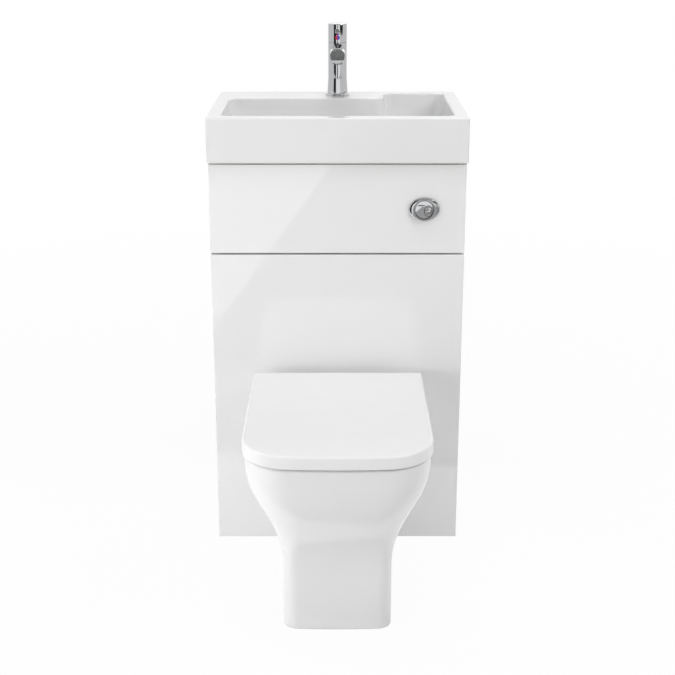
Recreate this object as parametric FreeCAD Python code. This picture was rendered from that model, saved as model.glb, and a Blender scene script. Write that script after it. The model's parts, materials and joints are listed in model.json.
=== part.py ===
import FreeCAD, Part
import math
import os

# Combined toilet and basin unit: a cabinet that carries a basin and tap on top, hides a cistern,
# and has a back-to-wall pan with a hinged seat and lid in front.
# Millimetres. X to the right, Y towards the wall, Z up.
# The origin is on the floor, under the middle of the box.

Vector = FreeCAD.Vector

# Cabinet
cabinet_width = 500.0
cabinet_depth = 345.0
board = 18.0
glide_height = 3.0
glide_radius = 7.0
glide_inset = 45.0
lower_panel_height = 618.0
panel_gap = 3.5
upper_panel_height = 177.0
top_gap = 3.5
panel_edge_round = 1.2
skirting_depth = 15.0
skirting_height = 120.0
front_rail_height = 58.0
seam_rail_height = 84.0
back_rail_height = 80.0
dowel_radius = 4.0
dowel_length = 30.0
dowel_in_side = 11.0
dowel_clearance = 0.05
dowel_shares = (0.25, 0.75)
clip_radius = 5.0
clip_in_panel = 8.0
clip_in_rail = 12.0
clip_stud_radius = 4.0
clip_inset = 45.0
wall_hole_radius = 3.5
wall_hole_spacing = 300.0

# Basin
basin_side_overhang = 2.5
basin_front_overhang = 10.0
basin_foot = 2.0
basin_edge_round = 3.0
side_rim = 26.0
front_rim = 30.0
ledge_depth = 96.0
pocket_rim = 25.0
pocket_width = 129.5
bowl_depth = 74.0
bowl_draft = 10.0
bowl_corner = 18.0
ledge_corner = 22.0
bowl_floor_round = 12.0
rim_round = 4.0
basin_wall = 12.0
apron_wall = 16.0
ledge_thickness = 14.0

# Basin waste and trap
waste_setback = 145.0
waste_flange_radius = 32.0
waste_flange_height = 3.0
waste_dish_radius = 60.0
waste_tail_radius = 20.5
waste_tail_length = 75.0
waste_bore_radius = 17.0
waste_hole_clearance = 0.5
plug_radius = 29.5
plug_height = 6.0
plug_lift = 7.0
plug_stem_radius = 4.0
plug_stem_length = 62.0
plug_bush_wall = 3.0
plug_bush_height = 9.0
plug_bush_drop = 45.0
running_clearance = 0.06
rest_gap = 0.3
backnut_height = 10.0
nut_wall = 8.0
thread_clearance = 0.1
trap_nut_height = 24.0
trap_nut_wall = 6.0
trap_nut_flutes = 12
trap_collar_height = 12.0
trap_neck_height = 14.0
trap_bottle_radius = 32.0
trap_bottle_height = 76.0
trap_wall = 3.0
trap_dip_radius = 15.0
trap_outlet_drop = 26.0
trap_socket_length = 30.0
trap_cup_height = 40.0
trap_cup_overlap = 12.0
waste_pipe_radius = 16.0
waste_pipe_wall = 2.0
waste_pipe_insertion = 22.0
waste_pipe_stop_width = 3.0
waste_pipe_stop_height = 2.0
waste_pipe_wall_gap = 4.0

# Tap
tap_setback = 48.0
tap_radius = 20.0
tap_base_radius = 26.0
tap_base_height = 4.0
tap_foot_radius = 22.0
tap_foot_height = 33.0
tap_seam_height = 110.0
tap_cap_height = 40.0
tap_hole_radius = 17.5
tap_joint_radius = 26.0
tap_joint_gap = 0.6
tap_cap_round = 2.5
spout_radius = 16.0
spout_drop = 0.8
spout_reach = 105.0
spout_bore_radius = 9.0
spout_edge_round = 1.5
spout_end_wall = 12.0
spout_facet_depth = 7.5
aerator_radius = 10.0
aerator_mouth_radius = 8.0
aerator_mouth_depth = 2.5
aerator_length = 12.0
aerator_proud = 2.0
aerator_setback = 20.0
cartridge_radius = 17.4
cartridge_height = 28.0
cartridge_opening = 14.0
spindle_radius = 9.0
stem_radius = 4.0
stem_ball_radius = 4.5
pivot_pin_radius = 2.0
cheek_gap = 0.7
cheek_thickness = 2.6
cheek_half_width = 4.0
lever_radius = 5.0
lever_length = 48.0
lever_rise = 21.0
lever_slope = 11.0
lever_spigot_radius = 3.0
lever_spigot_length = 7.0
mark_radius = 4.6
mark_rise = 11.5
mark_depth = 1.8
inlet_radius = 5.0
inlet_depth = 14.0
inlet_spacing = 17.0
inlet_offset = 5.0
stud_radius = 4.0
stud_offset = 10.0
stud_depth = 12.0
stud_length = 62.0
clamp_radius = 24.0
clamp_height = 4.0
clamp_nut_radius = 8.0
clamp_nut_height = 7.0

# Flush control in the upper panel
button_inset = 81.0
button_rise = 88.5
bezel_half_width = 30.75
bezel_half_height = 24.4
bezel_ring_radius = 20.8
bezel_height = 7.0
button_radius = 18.0
button_gap = 0.8
button_thickness = 5.0
button_recess = 1.0
button_round = 0.8
button_crown_radius = 130.0
bezel_steps = 4
half_button_x = 7.8
half_button_z = -2.2
half_button_half_width = 7.4
half_button_half_height = 10.4
half_button_dish_radius = 16.0
half_button_dish_depth = 1.2
full_piston_x = -8.0
piston_radius = 4.5
piston_length = 22.0
housing_wall = 2.0
housing_length = 46.0
housing_end = 3.0
housing_clearance = 0.3
housing_nut_height = 8.0
housing_nut_wall = 6.0
bellows_ribs = 4
bellows_rib_depth = 1.6
tube_radius = 2.6
tube_bore = 1.6
tube_bend_share = 0.45
nipple_length = 6.0

# Cistern behind the panels
tank_width = 360.0
tank_trap_clearance = 26.9
tank_pipe_clearance = 23.0
tank_height = 250.0
tank_wall = 3.5
tank_corner = 18.0
tank_lid_lip = 8.0
tank_lid_clearance = 0.5
tank_screw_spacing = 240.0
tank_screw_drop = 50.0
screw_radius = 2.0
screw_length = 14.0
screw_head_radius = 4.2
screw_head_height = 2.4
valve_base_radius = 38.0
valve_base_height = 5.0
valve_tail_radius = 30.0
valve_tail_length = 34.0
valve_bore = 24.0
cage_radius = 36.0
cage_wall = 3.0
cage_height = 150.0
cage_window_width = 30.0
lifter_radius = 12.0
lifter_wall = 2.5
lifter_rise = 40.0
lifter_disc_height = 4.0
seal_radius = 29.0
seal_height = 4.0
air_nipple_x = 24.0
air_nipple_offset = 8.0
air_nipple_radius = 4.0
air_nipple_proud = 8.0
outlet_nut_height = 14.0
outlet_nut_wall = 12.0
inlet_nut_height = 10.0
fill_x = -110.0
fill_tail_radius = 10.4
fill_tail_length = 40.0
fill_groove_width = 1.5
fill_groove_depth = 0.8
fill_column_radius = 11.0
fill_column_height = 195.0
fill_flange_radius = 18.0
fill_flange_height = 4.0
fill_head_radius = 20.0
fill_head_height = 26.0
float_radius = 30.0
float_height = 50.0
float_wall = 2.5
float_rest = 70.0
flush_pipe_radius = 23.6
flush_pipe_wall = 2.2
flush_pipe_insertion = 22.0
flush_pipe_bend = 50.0
flush_inlet_drop = 65.0
flush_inlet_bore = 27.5
flush_inlet_depth = 60.0
flush_pipe_in_pan = 40.0
flush_channel_radius = 19.0
flush_channel_overrun = 36.0
flush_hole_radius = 31.0
cone_flare = 5.0
cone_lip = 3.0

# Pan
rim_height = 365.0
rim_half_width = 164.0
rim_front = 452.0
rim_corner = 85.0
rim_depth = 30.0
pan_rim_round = 4.0
foot_half_width = 100.0
foot_front = 355.0
foot_corner = 28.0
front_bow = 1360.0
flare_start = 105.0
rim_band = 12.0
corner_flare_share = 0.8
flare_steps = 10
pan_wall = 12.0
rim_side_width = 46.0
rim_front_width = 52.0
bowl_back = 118.0
bowl_side_power = 1.3
bowl_front_power = 1.5
bowl_back_power = 0.7
bowl_near_corner_share = 0.8
bowl_far_corner_share = 0.55
bowl_steps = 6
sump_height = 110.0
sump_half_width = 42.0
sump_front = 235.0
sump_back = 158.0
trapway_radius = 40.0
trapway_wall = 12.0
trapway_dip_height = 100.0
trapway_front = 196.0
trapway_dip = 122.0
trapway_rise = 72.0
soil_height = 180.0
soil_reach = 70.0
spigot_wall = 10.0
soil_hole_clearance = 2.0
side_screw_radius = 3.5
side_screw_setback = 147.0
side_screw_height = 24.0
side_screw_length = 30.0
side_cover_radius = 7.0
side_cover_proud = 2.0
side_cover_depth = 4.0
bracket_length = 40.0
bracket_width = 36.0
bracket_height = 42.0
bracket_thickness = 4.0
bracket_clearance = 1.0
floor_hole_radius = 3.5

# Seat and lid
lid_gap = 2.0
lid_thickness = 21.0
lid_side_overhang = 4.0
lid_front_overhang = 4.4
lid_corner = 87.0
lid_wall = 4.5
lid_skin = 4.0
lid_front_rise = 4.5
lid_edge_round = 4.5
lid_inner_round = 6.0
lid_bar = 8.0
hinge_reach = 43.2
hinge_spacing = 155.0
seat_lift = 4.0
seat_thickness = 12.0
seat_clearance = 4.0
seat_back = 70.0
seat_round = 4.5
seat_hole_side_cover = 8.0
seat_hole_front_cover = 2.0
seat_hole_back_cover = 14.0
seat_hole_corner = 88.0
buffer_radius = 9.0
buffer_round = 1.0
side_buffer_reach = 182.0
pin_radius = 4.0
knuckle_radius = 6.5
knuckle_clearance = 1.0
post_width = 15.0
post_base_width = 24.0
post_base_gap = 3.0
post_base_front = 34.0
post_base_height = 3.0
post_neck_back = 2.0
post_neck_front = 15.0
post_stud_radius = 4.0
post_stud_setback = 20.0
hinge_hole_clearance = 1.0
lug_width = 16.0
lug_gap = 8.0
hinge_nut_radius = 11.0
hinge_nut_height = 10.0

# Planes that the pieces share
half_cabinet = cabinet_width / 2
inner_half = half_cabinet - board
lid_half_width = rim_half_width + lid_side_overhang
lid_front = rim_front + lid_front_overhang
wall_y = (cabinet_depth + lid_front) / 2
front_y = wall_y - cabinet_depth
panel_back_y = front_y + board
rail_back_y = panel_back_y + board
seam_z = glide_height + lower_panel_height
upper_panel_base = seam_z + panel_gap
upper_panel_top = upper_panel_base + upper_panel_height
cabinet_top = upper_panel_top + top_gap
basin_width = cabinet_width + 2 * basin_side_overhang
basin_depth = cabinet_depth + basin_front_overhang
basin_height = bowl_depth + basin_wall + basin_foot
pocket_left = basin_width / 2 - side_rim - pocket_width
basin_top = cabinet_top + basin_height
basin_front_y = wall_y - basin_depth
bowl_floor = basin_top - bowl_depth
waste_y = basin_front_y + waste_setback
waste_seat_z = bowl_floor - waste_flange_height
tail_end_z = waste_seat_z - waste_tail_length
trap_top_z = tail_end_z - trap_collar_height
bottle_top_z = trap_top_z - trap_neck_height
bottle_base_z = bottle_top_z - trap_bottle_height
trap_outlet_z = bottle_top_z - trap_outlet_drop
tap_y = wall_y - tap_setback
tap_foot_z = basin_top + tap_base_height
tap_seam_z = basin_top + tap_seam_height
tap_top_z = tap_seam_z + tap_cap_height
tap_pivot_z = tap_seam_z - math.sqrt(tap_joint_radius ** 2 - tap_radius ** 2)
spindle_top_z = tap_pivot_z - stem_ball_radius - rest_gap
ledge_base_z = basin_top - ledge_thickness
spout_z = tap_seam_z - spout_radius - spout_drop
lever_z = tap_seam_z + lever_rise
mark_z = tap_seam_z + mark_rise
button_x = half_cabinet - button_inset
button_z = upper_panel_base + button_rise
housing_bore = button_radius + button_gap
housing_radius = housing_bore + housing_wall
button_face_y = front_y - bezel_height + button_recess
button_back_y = button_face_y + button_thickness
piston_end_y = button_back_y + piston_length
housing_end_y = front_y + housing_length
half_button_place = Vector(button_x + half_button_x, 0, button_z + half_button_z)
full_piston_place = Vector(button_x + full_piston_x, 0, button_z)
tank_back_y = wall_y - board
trap_cup_radius = trap_bottle_radius + thread_clearance + trap_wall
tank_front_y = waste_y + trap_cup_radius + tank_trap_clearance
tank_depth = tank_back_y - tank_front_y
tank_y = (tank_back_y + tank_front_y) / 2
tank_top = trap_outlet_z - waste_pipe_radius - tank_pipe_clearance
tank_base = tank_top - tank_height
tank_floor = tank_base + tank_wall
valve_seat_z = tank_floor + valve_base_height
cage_top = valve_seat_z + cage_height
flare_end = rim_height - rim_band
flush_inlet_height = rim_height - flush_inlet_drop
bowl_half_width = rim_half_width - rim_side_width
bowl_front = rim_front - rim_front_width
seat_hole_half_width = bowl_half_width - seat_hole_side_cover
seat_hole_front = bowl_front - seat_hole_front_cover
seat_hole_back = bowl_back + seat_hole_back_cover
hinge_y = front_y - hinge_reach
hinge_z = rim_height + lid_gap + lid_thickness / 2
lid_base = rim_height + lid_gap
lid_top = lid_base + lid_thickness
lid_ceiling = lid_top - lid_skin
seat_base = rim_height + seat_lift
seat_top = seat_base + seat_thickness
seat_half_width = lid_half_width - lid_wall - seat_clearance
seat_front = lid_front - lid_wall - seat_clearance
hinge_x = hinge_spacing / 2
post_inner = hinge_x - post_width / 2
post_outer = hinge_x + post_width / 2
seat_lug_outer = post_inner - lug_gap
seat_lug_inner = seat_lug_outer - lug_width
lid_lug_inner = post_outer + lug_gap
lid_lug_outer = lid_lug_inner + lug_width
side_cover_x = foot_half_width + side_cover_proud
post_base_back = lid_bar + post_base_gap
cheek_inner = stem_ball_radius + cheek_gap
cheek_outer = cheek_inner + cheek_thickness
sides = (-1, 1)


# Shapes that many pieces are made from

def box(x_range, y_range, z_range):
    corner = Vector(min(x_range), min(y_range), min(z_range))
    size = [max(span) - min(span) for span in (x_range, y_range, z_range)]
    return Part.makeBox(*size, corner)


def rod(radius, start, end):
    return Part.makeCylinder(radius, (end - start).Length, start, end - start)


def tube(outer, inner, start, end):
    return rod(outer, start, end).cut(rod(inner, start, end))


def cone(start_radius, end_radius, start, end):
    return Part.makeCone(start_radius, end_radius, (end - start).Length, start, end - start)


def hexagon(corner_radius, base, height):
    turns = [math.radians(60 * i) for i in range(7)]
    loop = [base + Vector(corner_radius * math.cos(t), corner_radius * math.sin(t), 0) for t in turns]
    return Part.Face(Part.makePolygon(loop)).extrude(Vector(0, 0, height))


def hexagon_nut(corner_radius, bore, base, height):
    return hexagon(corner_radius, base, height).cut(rod(bore, base, base + Vector(0, 0, height)))


def united(shapes):
    return shapes[0].multiFuse(shapes[1:]).removeSplitter()


def grouped(shapes):
    return Part.makeCompound(shapes)


def rounded_loop(corners, radii, height):
    bends = []
    for i, corner in enumerate(corners):
        here = Vector(corner[0], corner[1], height)
        back = Vector(*corners[i - 1], height) - here
        onward = Vector(*corners[(i + 1) % len(corners)], height) - here
        half_turn = back.getAngle(onward) / 2
        back.normalize()
        onward.normalize()
        bisector = (back + onward).normalize()
        reach = radii[i] / math.tan(half_turn)
        middle = here + bisector * (radii[i] / math.sin(half_turn) - radii[i])
        bends.append((here + back * reach, middle, here + onward * reach))
    edges = []
    for i, (start, middle, end) in enumerate(bends):
        edges.append(Part.Arc(start, middle, end).toShape())
        edges.append(Part.LineSegment(end, bends[(i + 1) % len(bends)][0]).toShape())
    return Part.Wire(edges)


def rounded_rectangle(half_width, near_y, far_y, near_radius, far_radius, height):
    corners = [(-half_width, near_y), (half_width, near_y), (half_width, far_y), (-half_width, far_y)]
    return rounded_loop(corners, [near_radius, near_radius, far_radius, far_radius], height)


# Flat at the back, straight at the sides, bowed at the front with round corners.
def d_loop(half_width, back, front, corner, height):
    bow_centre = front - front_bow
    corner_x = half_width - corner
    corner_reach = bow_centre + math.sqrt((front_bow - corner) ** 2 - corner_x ** 2)
    turn = math.atan2(corner_reach - bow_centre, corner_x)

    def at(x, reach):
        return Vector(x, front_y - reach, height)

    def on_corner(side, angle):
        return at(side * (corner_x + corner * math.cos(angle)), corner_reach + corner * math.sin(angle))

    edges = [
        Part.LineSegment(at(-half_width, back), at(half_width, back)),
        Part.LineSegment(at(half_width, back), on_corner(1, 0)),
        Part.Arc(on_corner(1, 0), on_corner(1, turn / 2), on_corner(1, turn)),
        Part.Arc(on_corner(1, turn), at(0, front), on_corner(-1, turn)),
        Part.Arc(on_corner(-1, turn), on_corner(-1, turn / 2), on_corner(-1, 0)),
        Part.LineSegment(on_corner(-1, 0), at(-half_width, back)),
    ]
    return Part.Wire([edge.toShape() for edge in edges])


def prism(loop, height):
    return Part.Face(loop).extrude(Vector(0, 0, height))


def lofted(loops):
    return Part.makeLoft(loops, True, False)


def edges_at(shape, height):
    return [e for e in shape.Edges if all(abs(v.Z - height) < 1e-4 for v in e.Vertexes)
            and abs(e.BoundBox.ZLength) < 1e-4]


def eased(share):
    share = min(max(share, 0.0), 1.0)
    return share ** 3 * (10 - 15 * share + 6 * share ** 2)


# Straight runs joined by tangent arcs, each as large as its shorter run allows.
def route(points):
    starts = [points[0]]
    edges = []
    for i in range(1, len(points) - 1):
        back = points[i - 1] - points[i]
        onward = points[i + 1] - points[i]
        half_turn = back.getAngle(onward) / 2
        reach = tube_bend_share * min(back.Length, onward.Length)
        radius = reach * math.tan(half_turn)
        back.normalize()
        onward.normalize()
        bisector = (back + onward).normalize()
        start = points[i] + back * reach
        end = points[i] + onward * reach
        middle = points[i] + bisector * (radius / math.sin(half_turn) - radius)
        edges.append(Part.LineSegment(starts[-1], start).toShape())
        edges.append(Part.Arc(start, middle, end).toShape())
        starts.append(end)
    edges.append(Part.LineSegment(starts[-1], points[-1]).toShape())
    return Part.Wire(edges)


def swept(path, radius):
    first = path.Edges[0]
    along = first.tangentAt(first.FirstParameter)
    ring = Part.Wire(Part.makeCircle(radius, first.valueAt(first.FirstParameter), along))
    return path.makePipeShell([ring], True, False)


# Cabinet

def rail_spans():
    front = (panel_back_y, rail_back_y)
    back = (wall_y - board, wall_y)
    seam_middle = seam_z + panel_gap / 2
    rail_of_tank = tank_top - tank_screw_drop - back_rail_height / 2
    return {
        "top_front_rail": (front, (cabinet_top - front_rail_height, cabinet_top)),
        "seam_rail": (front, (seam_middle - seam_rail_height / 2, seam_middle + seam_rail_height / 2)),
        "bottom_front_rail": (front, (glide_height, glide_height + front_rail_height)),
        "top_back_rail": (back, (cabinet_top - back_rail_height, cabinet_top)),
        "cistern_rail": (back, (rail_of_tank, rail_of_tank + back_rail_height)),
    }


def dowel_places():
    places = []
    for y_span, z_span in rail_spans().values():
        height = z_span[1] - z_span[0]
        for share in dowel_shares:
            for side in sides:
                places.append((side, sum(y_span) / 2, z_span[0] + share * height))
    return places


def dowels(clearance):
    inner = inner_half - dowel_length + dowel_in_side - clearance
    outer = inner_half + dowel_in_side + clearance
    return [rod(dowel_radius + clearance, Vector(side * inner, y, z), Vector(side * outer, y, z))
            for side, y, z in dowel_places()]


def clip_places():
    low = glide_height + front_rail_height / 2
    high = cabinet_top - front_rail_height / 2
    quarter = seam_rail_height / 4
    heights = (low, seam_z - quarter, upper_panel_base + quarter, high)
    return [(side * (half_cabinet - clip_inset), z) for side in sides for z in heights]


def clips(clearance):
    made = []
    for x, z in clip_places():
        seat = Vector(x, panel_back_y, z)
        head = rod(clip_radius + clearance, seat, seat - Vector(0, clip_in_panel + clearance, 0))
        stud = rod(clip_stud_radius + clearance, seat, seat + Vector(0, clip_in_rail + clearance, 0))
        made.append(united([head, stud]))
    return made


def tank_screw_places():
    return [Vector(side * tank_screw_spacing / 2, tank_back_y, tank_top - tank_screw_drop) for side in sides]


def tank_screw_shanks(clearance):
    return [rod(screw_radius + clearance, place - Vector(0, tank_wall, 0), place + Vector(0, screw_length, 0))
            for place in tank_screw_places()]


def make_side_panel(side):
    panel = box((side * inner_half, side * half_cabinet), (panel_back_y, wall_y), (glide_height, cabinet_top))
    skirting = box((side * inner_half, side * half_cabinet), (wall_y - skirting_depth, wall_y),
                   (glide_height, skirting_height))
    return panel.cut([skirting] + dowels(dowel_clearance))


def make_front_panel(base, height, holes):
    panel = box((-half_cabinet, half_cabinet), (front_y, panel_back_y), (base, base + height))
    face_edges = [e for e in panel.Edges if all(abs(v.Y - front_y) < 1e-6 for v in e.Vertexes)]
    panel = panel.makeFillet(panel_edge_round, face_edges)
    return panel.cut(holes + clips(dowel_clearance))


def through_panel(radius, x, z):
    return rod(radius, Vector(x, front_y - board, z), Vector(x, panel_back_y + board, z))


def make_lower_panel():
    soil_hole = through_panel(trapway_radius + spigot_wall + soil_hole_clearance, 0, soil_height)
    flush_hole = through_panel(flush_hole_radius, 0, flush_inlet_height)
    return make_front_panel(glide_height, lower_panel_height, [soil_hole, flush_hole])


def make_upper_panel():
    housing_hole = through_panel(housing_radius + housing_clearance, button_x, button_z)
    return make_front_panel(upper_panel_base, upper_panel_height, [housing_hole])


def make_rail(name):
    y_span, z_span = rail_spans()[name]
    rail = box((-inner_half, inner_half), y_span, z_span)
    holes = dowels(dowel_clearance) + clips(dowel_clearance) + tank_screw_shanks(dowel_clearance)
    if name == "top_back_rail":
        for side in sides:
            place = Vector(side * wall_hole_spacing / 2, wall_y, sum(z_span) / 2)
            holes.append(rod(wall_hole_radius, place, place - Vector(0, board, 0)))
    return rail.cut(holes)


def make_glides():
    glides = []
    for side in sides:
        for y in (panel_back_y + glide_inset, wall_y - glide_inset):
            foot = Vector(side * (half_cabinet - board / 2), y, 0)
            glide = rod(glide_radius, foot, foot + Vector(0, 0, glide_height))
            glides.append(glide.makeChamfer(glide_height / 3, edges_at(glide, 0)))
    return grouped(glides)


def make_tank_screws():
    screws = []
    for place, shank in zip(tank_screw_places(), tank_screw_shanks(0)):
        seat = place - Vector(0, tank_wall, 0)
        head = rod(screw_head_radius, seat, seat - Vector(0, screw_head_height, 0))
        screws.append(united([head, shank]))
    return grouped(screws)


# Basin

def bowl_loop(inset, height):
    half = basin_width / 2 - side_rim - inset
    near = basin_front_y + front_rim + inset
    ledge = wall_y - ledge_depth - inset
    far = wall_y - pocket_rim - inset
    pocket = pocket_left + inset
    corners = [(-half, near), (half, near), (half, far), (pocket, far), (pocket, ledge), (-half, ledge)]
    radii = [bowl_corner, bowl_corner, bowl_corner, bowl_corner, ledge_corner, bowl_corner]
    return rounded_loop(corners, radii, height)


def make_bowl_cut():
    inner = lofted([bowl_loop(0, basin_top), bowl_loop(bowl_draft, bowl_floor)])
    inner = inner.makeFillet(bowl_floor_round, edges_at(inner, bowl_floor))
    seat = on_waste(waste_seat_z)
    dish = cone(waste_flange_radius + waste_hole_clearance, waste_dish_radius, seat,
                on_waste(bowl_floor + rest_gap))
    hole = rod(waste_tail_radius + waste_hole_clearance, seat, on_waste(cabinet_top))
    return united([inner, dish, hole])


def make_basin():
    half = basin_width / 2
    block = box((-half, half), (basin_front_y, wall_y), (cabinet_top, basin_top))
    block = block.makeFillet(basin_edge_round, block.Edges)
    bowl_skin = lofted([bowl_loop(-basin_wall, basin_top),
                        bowl_loop(bowl_draft - basin_wall, bowl_floor - basin_wall)])
    hollow = box((apron_wall - half, half - apron_wall), (basin_front_y + apron_wall, wall_y - apron_wall),
                 (cabinet_top - basin_edge_round, ledge_base_z))
    basin = block.cut(make_bowl_cut())
    lip = [e for e in edges_at(basin, basin_top) if e.BoundBox.YMin > basin_front_y + front_rim / 2
           and abs(e.CenterOfMass.x) < half - side_rim / 2 and e.CenterOfMass.y < wall_y - pocket_rim / 2]
    basin = basin.makeFillet(rim_round, lip)
    tap_hole = rod(tap_hole_radius, Vector(0, tap_y, ledge_base_z), Vector(0, tap_y, basin_top))
    return basin.cut([hollow.cut(bowl_skin), tap_hole])


def on_waste(height):
    return Vector(0, waste_y, height)


def make_waste_flange():
    flange = rod(waste_flange_radius, on_waste(waste_seat_z), on_waste(bowl_floor))
    flange = flange.makeChamfer(waste_flange_height / 3, edges_at(flange, bowl_floor))
    tail = rod(waste_tail_radius, on_waste(tail_end_z), on_waste(waste_seat_z))
    bore = rod(waste_bore_radius, on_waste(tail_end_z), on_waste(bowl_floor))
    bush_top = bowl_floor - plug_bush_drop
    bush_base = bush_top - plug_bush_height
    bush = rod(plug_stem_radius + running_clearance + plug_bush_wall, on_waste(bush_base), on_waste(bush_top))
    arm_half = plug_bush_wall / 2
    arms = [box((-waste_bore_radius, waste_bore_radius), (waste_y - arm_half, waste_y + arm_half),
                (bush_base, bush_top)),
            box((-arm_half, arm_half), (waste_y - waste_bore_radius, waste_y + waste_bore_radius),
                (bush_base, bush_top))]
    spider = united([bush] + arms).cut(rod(plug_stem_radius + running_clearance, on_waste(bush_base),
                                           on_waste(bush_top)))
    return united([united([flange, tail]).cut(bore), spider])


def make_waste_plug():
    underside = bowl_floor + rest_gap + plug_lift
    disc = rod(plug_radius, on_waste(underside), on_waste(underside + plug_height))
    disc = disc.makeFillet(plug_height / 2, edges_at(disc, underside + plug_height))
    stem = rod(plug_stem_radius, on_waste(underside - plug_stem_length), on_waste(underside))
    return united([disc, stem])


def make_waste_backnut():
    top = bowl_floor - basin_wall
    bore = waste_tail_radius + thread_clearance
    return hexagon_nut(bore + nut_wall, bore, on_waste(top - backnut_height), backnut_height)


def make_trap_nut():
    collar = trap_collar_radius()
    outer = collar + trap_nut_wall
    top = trap_top_z + trap_nut_height
    nut = rod(outer, on_waste(trap_top_z), on_waste(top))
    nut = nut.cut(rod(waste_tail_radius + thread_clearance, on_waste(trap_top_z), on_waste(top)))
    nut = nut.cut(rod(collar + thread_clearance, on_waste(trap_top_z), on_waste(tail_end_z)))
    grip = trap_nut_wall / 3
    flutes = []
    for i in range(trap_nut_flutes):
        turn = math.radians(360 / trap_nut_flutes * i)
        spot = Vector(outer * math.cos(turn), waste_y + outer * math.sin(turn), trap_top_z)
        flutes.append(rod(grip, spot, spot + Vector(0, 0, trap_nut_height)))
    return nut.cut(flutes)


def trap_collar_radius():
    return waste_tail_radius + trap_wall / 2


def make_trap_body():
    inner = trap_bottle_radius - trap_wall
    socket_radius = waste_pipe_radius + thread_clearance + trap_wall
    socket_end = waste_y + trap_bottle_radius + trap_socket_length
    outlet = Vector(0, waste_y, trap_outlet_z)
    socket_mouth = Vector(0, socket_end, trap_outlet_z)
    pipe_stop = Vector(0, socket_end - waste_pipe_insertion, trap_outlet_z)
    collar = rod(trap_collar_radius(), on_waste(trap_top_z), on_waste(tail_end_z))
    neck = rod(trap_dip_radius + trap_wall, on_waste(bottle_top_z), on_waste(trap_top_z))
    bottle = rod(trap_bottle_radius, on_waste(bottle_base_z), on_waste(bottle_top_z))
    bottle = bottle.makeFillet(trap_wall, edges_at(bottle, bottle_top_z))
    socket = rod(socket_radius, outlet, socket_mouth)
    shell = united([collar, neck, bottle, socket])
    hollow = rod(inner, on_waste(bottle_base_z), on_waste(bottle_top_z - trap_wall))
    port = rod(waste_pipe_radius - waste_pipe_wall, outlet, socket_mouth)
    pipe_seat = rod(waste_pipe_radius + thread_clearance, pipe_stop, socket_mouth)
    dip_end = bottle_base_z + trap_cup_overlap
    dip = rod(trap_dip_radius + trap_wall / 2, on_waste(dip_end), on_waste(bottle_top_z))
    bore = rod(trap_dip_radius, on_waste(dip_end), on_waste(tail_end_z))
    return united([shell.cut([hollow, port, pipe_seat]), dip]).cut(bore)


def make_trap_cup():
    rim = bottle_base_z + trap_cup_overlap
    base = rim - trap_cup_height
    cup = rod(trap_cup_radius, on_waste(base), on_waste(rim))
    cup = cup.makeFillet(trap_wall * 2, edges_at(cup, base))
    seat = rod(trap_bottle_radius + thread_clearance, on_waste(bottle_base_z), on_waste(rim))
    inner = rod(trap_bottle_radius - trap_wall, on_waste(base + trap_wall), on_waste(bottle_base_z))
    return cup.cut([seat, inner])


def make_waste_pipe():
    mouth = Vector(0, waste_y + trap_bottle_radius + trap_socket_length, trap_outlet_z)
    start = mouth - Vector(0, waste_pipe_insertion, 0)
    end = Vector(0, wall_y - waste_pipe_wall_gap, trap_outlet_z)
    stop_end = mouth + Vector(0, waste_pipe_stop_width, 0)
    stop = rod(waste_pipe_radius + waste_pipe_stop_height, mouth, stop_end)
    bore = rod(waste_pipe_radius - waste_pipe_wall, start, end)
    return united([rod(waste_pipe_radius, start, end), stop]).cut(bore)


# Tap

def on_tap(height):
    return Vector(0, tap_y, height)


def stud_place(height):
    return Vector(0, tap_y + stud_offset, height)


def make_tap_base_ring():
    ring = rod(tap_base_radius, on_tap(basin_top), on_tap(tap_foot_z))
    ring = ring.makeFillet(tap_base_height / 3, edges_at(ring, tap_foot_z))
    return ring.cut(rod(tap_hole_radius, on_tap(basin_top), on_tap(tap_foot_z)))


def facet_origin():
    return Vector(0, tap_y - spout_reach, spout_z - spout_radius + spout_facet_depth)


def make_tap_body():
    foot_top = tap_foot_z + tap_foot_height
    foot = cone(tap_foot_radius, tap_radius, on_tap(tap_foot_z), on_tap(foot_top))
    stand = rod(tap_radius, on_tap(foot_top), on_tap(tap_seam_z))
    spout_end = Vector(0, tap_y - spout_reach, spout_z)
    spout = rod(spout_radius, on_tap(spout_z), spout_end)
    rim = [e for e in spout.Edges if all(abs(v.Y - spout_end.y) < 1e-6 for v in e.Vertexes) and not e.isSeam(
        spout.Faces[0])]
    spout = spout.makeFillet(spout_edge_round, rim)
    facet = Part.makeBox(spout_reach, spout_reach, spout_reach, Vector(-spout_reach / 2, -spout_reach / 2, 0))
    facet.rotate(Vector(), Vector(1, 0, 0), 135)
    facet.translate(facet_origin())
    spout = spout.cut(facet)
    body = united([foot, stand, spout])
    chamber_base = spindle_top_z - spindle_height() - cartridge_height
    chamber = rod(cartridge_radius + thread_clearance, on_tap(chamber_base), on_tap(tap_seam_z))
    channel_end = Vector(0, tap_y - spout_reach + spout_end_wall, spout_z)
    channel = rod(spout_bore_radius, on_tap(spout_z), channel_end)
    inlets = [rod(inlet_radius, Vector(side * inlet_spacing / 2, tap_y - inlet_offset, tap_foot_z),
                  Vector(side * inlet_spacing / 2, tap_y - inlet_offset, tap_foot_z + inlet_depth))
              for side in sides]
    stud_hole = rod(stud_radius + thread_clearance / 2, stud_place(tap_foot_z),
                    stud_place(tap_foot_z + stud_depth))
    return body.cut([chamber, channel, aerator_rod(thread_clearance / 2), stud_hole] + inlets)


def under_spout(rise):
    return Vector(0, tap_y - spout_reach + aerator_setback, spout_z - spout_radius + rise)


def aerator_rod(clearance):
    top = under_spout(aerator_length - aerator_proud)
    return rod(aerator_radius + clearance, under_spout(-aerator_proud), top)


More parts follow.
